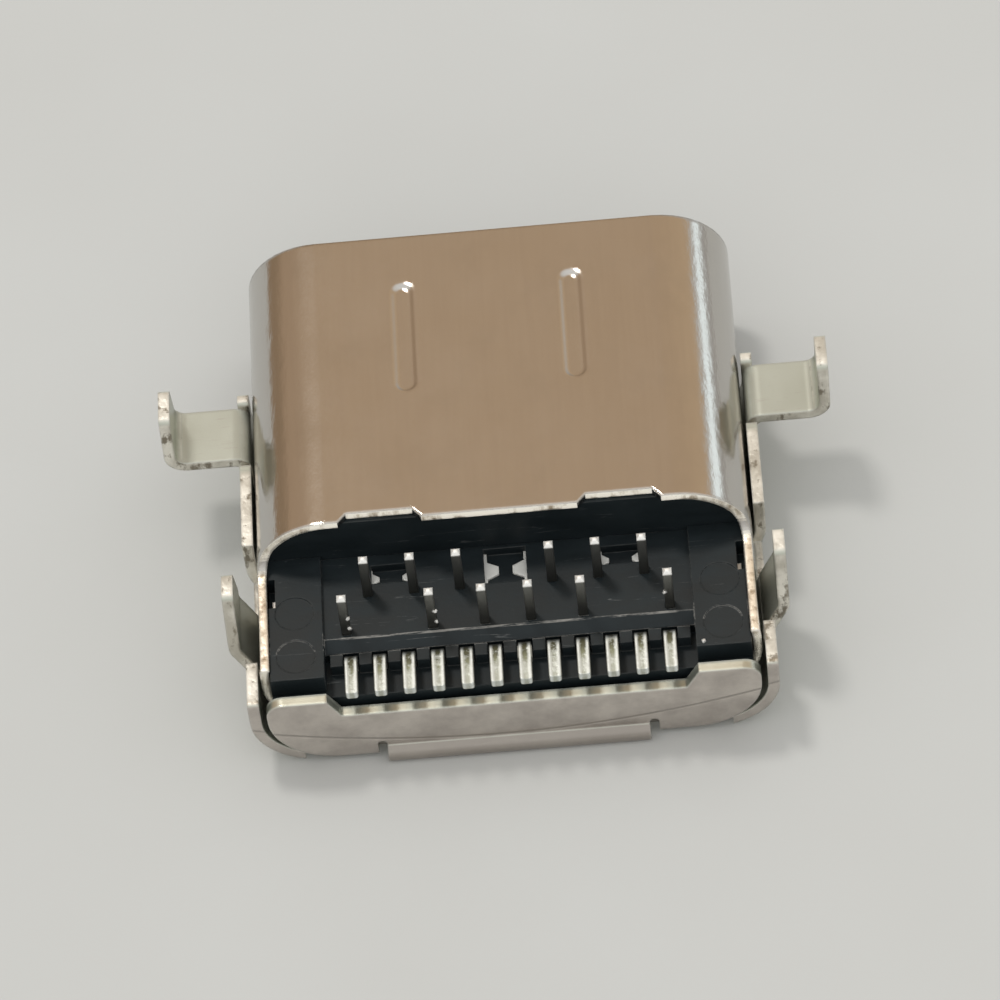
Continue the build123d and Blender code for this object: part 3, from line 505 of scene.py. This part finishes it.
def black_plastic():
    """Glass-filled moulding: satin black with fine flow marks, light scratches and edges lightened
    by wear and painted highlight.
    """
    made, tree, shader = material("black_plastic", metallic=0.0)
    shader.inputs["Specular IOR Level"].default_value = 0.34
    place = millimetres(tree)
    x, y, z = components(tree, place)
    rounded, edge = rounded_edges(tree, MOULDING_EDGE)
    grain = noise(tree, place, 22, detail=5, roughness=0.65)
    flow = noise(tree, place, (1.2, 3, 3), detail=3)
    breaks = noise(tree, place, (1.6, 14, 14), detail=5, roughness=0.75)
    drift = noise(tree, place, (0.16, 2.4, 2.4), detail=2)

    chamfer_edge, ridge = panel_wear_and_highlight(tree, x, y, z, breaks)
    # edges are lightened: partly wear, partly painted highlight
    worn_and_highlit = larger(tree, product(tree, edge, 0.24), chamfer_edge)
    worn_and_highlit = larger(tree, product(tree, worn_and_highlit, remap(tree, breaks, 0.4, 0.58)), ridge)
    # scratches: the thin level lines of a noise drawn out along the rows of contacts
    line = size_of(tree, difference(tree, drift, 0.5))
    scratch = product(tree, remap(tree, line, 0.005, 0.002), remap(tree, breaks, 0.54, 0.64))

    colour = mix(tree, remap(tree, flow, *NOISE_CORE), *BLACK)
    colour = mix(tree, product(tree, scratch, 0.3), colour, SCRATCHED_BLACK)
    colour = mix(tree, product(tree, worn_and_highlit, 0.8), colour, WORN_AND_HIGHLIT_BLACK)
    rough = remap(tree, flow, *NOISE_SPAN, 0.44, 0.56)
    normal = bump(tree, grain, distance=0.006, strength=0.35, normal=rounded)
    join(tree, shader, base_color=colour, roughness=rough, normal=normal)
    return made


finishes = {
    "shell_steel": shell_steel(),
    "bracket_steel": bracket_steel(),
    "plate_steel": plate_steel(),
    "contact_metal": contact_metal(),
    "black_plastic": black_plastic(),
}
slots = {entry["node"]: entry["material_slot"] for entry in frame["record"]["subparts"]}
for name, piece in frame["nodes"].items():
    piece.data.materials.clear()
    piece.data.materials.append(finishes[slots[name]])

# ------------------------------------------------ burrs of plating

BURR_SIZE = Vector((0.045, 0.75 * 0.045, 0.9 * 0.045))
BURR_INSET = 0.15  # from the pin's outer edge
BURR_HEIGHTS = 0.3, 0.6  # above the sheared bars
BURR_CRUMPLING = 0.22
STRAY_BURR = 0.45  # from the last tail, outward and forward


def burr_places():
    """Spots in millimetres: on the rear faces of three pins, and a stray one on the side block."""
    for name, heights in (("01", BURR_HEIGHTS), ("04", BURR_HEIGHTS), ("12", BURR_HEIGHTS[1:])):
        low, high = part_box("pin_contact_" + name)
        x = low.x / MM + BURR_INSET if low.x < 0 else high.x / MM - BURR_INSET
        for height in heights:
            yield Vector((x, low.y / MM, bar_top + height))
    yield Vector((tails_end + STRAY_BURR, tail_rear + STRAY_BURR, block_top))


def plating_burrs():
    """Crumpled specks of plating that were scraped up when the contacts were pushed in."""
    mesh = bmesh.new()
    for turn, spot in enumerate(burr_places()):
        speck = bmesh.ops.create_icosphere(mesh, subdivisions=2, radius=1.0)["verts"]
        for index, vert in enumerate(speck):
            vert.co *= 1.0 + BURR_CRUMPLING * math.sin(2.4 * index + turn)
        size = Matrix.Diagonal((*(BURR_SIZE * MM), 1))
        place = Matrix.Translation(spot * MM) @ Matrix.Rotation(turn, 4, "Z")
        bmesh.ops.transform(mesh, matrix=place @ size, verts=speck)
    data = bpy.data.meshes.new("plating_burrs")
    mesh.to_mesh(data)
    mesh.free()
    piece = bpy.data.objects.new("plating_burrs", data)
    bpy.context.scene.collection.objects.link(piece)
    data.materials.append(finishes["plate_steel"])
    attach(piece, "root")


plating_burrs()

# ------------------------------------------------ floor

FLOOR_SIZE = 0.8
FLOOR_GAP = 0.002 * MM
FLOOR_PAINT = (0.575, 0.577, 0.564), (0.595, 0.60, 0.59)


def floor_paint():
    made, tree, shader = material("floor_paint", metallic=0.0, roughness=0.85)
    place = millimetres(tree)
    mottle = noise(tree, place, 0.12, detail=3)
    fibre = noise(tree, place, 9, detail=3)
    colour = mix(tree, remap(tree, mottle, *NOISE_SPAN), *FLOOR_PAINT)
    join(tree, shader, base_color=colour, normal=bump(tree, fibre, distance=0.01, strength=0.15))
    return made


bpy.ops.mesh.primitive_plane_add(size=FLOOR_SIZE, location=(0, 0, cad_box[0].z - FLOOR_GAP))
floor = bpy.context.object
floor.name = "floor"
floor.data.materials.append(floor_paint())

# ------------------------------------------------ light

SUN_TO = Vector((-0.28, 0.38, 1.0))
SUN_ENERGY = 0.75
SUN_COLOUR = (1.0, 0.97, 0.92)
SUN_ANGLE = math.radians(10)

HORIZON = (0.45, 0.43, 0.40)
OVERHEAD = (0.975, 0.975, 0.955)
FAR_SIDE = (0.52, 0.37, 0.245), (0.66, 0.485, 0.315)
FAR_SIDE_LOW = (0.37, 0.26, 0.165)
# angles about the part's long axis, in degrees from overhead to the right
FAR_SIDE_BLEND = -45, 45
FAR_SIDE_LOW_BLEND = -58, -72
FAR_SIDE_LEFT = -99, -85
FAR_SIDE_RIGHT = 62, 54
WINDOW = (1.4, 1.55, 1.6)
WINDOW_TO = Vector((0.77, 0.587, 0.25)).normalized()
WINDOW_ANGLES = 7.5, 3  # from its middle to where it starts and where it is full, in degrees
SEEN_BACKDROP = (0.61, 0.605, 0.58)


def key_light():
    """A compact lamp, high and behind the part's left."""
    lamp = bpy.data.lights.new("key", "SUN")
    lamp.energy = SUN_ENERGY
    lamp.angle = SUN_ANGLE
    lamp.color = SUN_COLOUR
    key = bpy.data.objects.new("key", lamp)
    key.rotation_euler = SUN_TO.to_track_quat("Z", "Y").to_euler()
    bpy.context.scene.collection.objects.link(key)


def room():
    """Pale room: a warm surface over the far side, a window at the right and a darker horizon."""
    world = bpy.data.worlds.new("room")
    world.use_nodes = True
    bpy.context.scene.world = world
    tree = world.node_tree
    background = tree.nodes["Background"]
    direction = node(tree, "TexCoord").outputs["Generated"]
    x, y, z = components(tree, direction)
    around = math_node(tree, "ARCTAN2", x, z)

    def turned(start, end):
        """0 to 1 between two angles about the part's long axis."""
        return remap(tree, around, math.radians(start), math.radians(end))

    pale = mix(tree, remap(tree, z, 0.0, 0.9), HORIZON, OVERHEAD)
    # what stands over the far side: warm, lighter to the right, darker low down on the left
    warm = mix(tree, turned(*FAR_SIDE_BLEND), *FAR_SIDE)
    warm = mix(tree, turned(*FAR_SIDE_LOW_BLEND), warm, FAR_SIDE_LOW)
    sides = product(tree, turned(*FAR_SIDE_LEFT), turned(*FAR_SIDE_RIGHT))
    warm_zone = product(tree, remap(tree, y, 0.1, 0.3), sides)
    colour = mix(tree, warm_zone, pale, warm)
    to_window = vector_node(tree, "DOT_PRODUCT", direction, WINDOW_TO, output="Value")
    window_edge, window_core = (math.cos(math.radians(angle)) for angle in WINDOW_ANGLES)
    colour = mix(tree, remap(tree, to_window, window_edge, window_core), colour, WINDOW)
    rays = node(tree, "LightPath")
    colour = mix(tree, rays.outputs["Is Glossy Ray"], pale, colour)
    colour = mix(tree, rays.outputs["Is Camera Ray"], colour, SEEN_BACKDROP)
    tree.links.new(colour, background.inputs["Color"])
    background.inputs["Strength"].default_value = 1.0


key_light()
room()

# ------------------------------------------------ camera

CAMERA_TARGET = Vector((-0.037, -0.325, 1.5)) * MM
CAMERA_DISTANCE = 107.68 * MM
CAMERA_ELEVATION = math.radians(53.99)
CAMERA_AZIMUTH = math.radians(-3.426)
CAMERA_ROLL = math.radians(-7.592)
CAMERA_LENS = 220.94
CAMERA_SENSOR = 36
CAMERA_CLIP = MM, 10


def camera():
    """Camera above the tails, turned a little about its own axis."""
    flat = math.cos(CAMERA_ELEVATION)
    ahead = Vector((
        math.sin(CAMERA_AZIMUTH) * flat,
        math.cos(CAMERA_AZIMUTH) * flat,
        -math.sin(CAMERA_ELEVATION),
    ))
    right = ahead.cross(Vector((0, 0, 1))).normalized()
    up = right.cross(ahead)
    across = math.cos(CAMERA_ROLL) * right + math.sin(CAMERA_ROLL) * up
    above = math.cos(CAMERA_ROLL) * up - math.sin(CAMERA_ROLL) * right
    lens = bpy.data.cameras.new("camera")
    lens.lens = CAMERA_LENS
    lens.sensor_width = CAMERA_SENSOR
    lens.clip_start, lens.clip_end = CAMERA_CLIP
    made = bpy.data.objects.new("camera", lens)
    turn = Matrix((across, above, -ahead)).transposed().to_4x4()
    made.matrix_world = Matrix.Translation(CAMERA_TARGET - CAMERA_DISTANCE * ahead) @ turn
    bpy.context.scene.collection.objects.link(made)
    bpy.context.scene.camera = made


camera()
bpy.context.scene.view_settings.view_transform = "Standard"
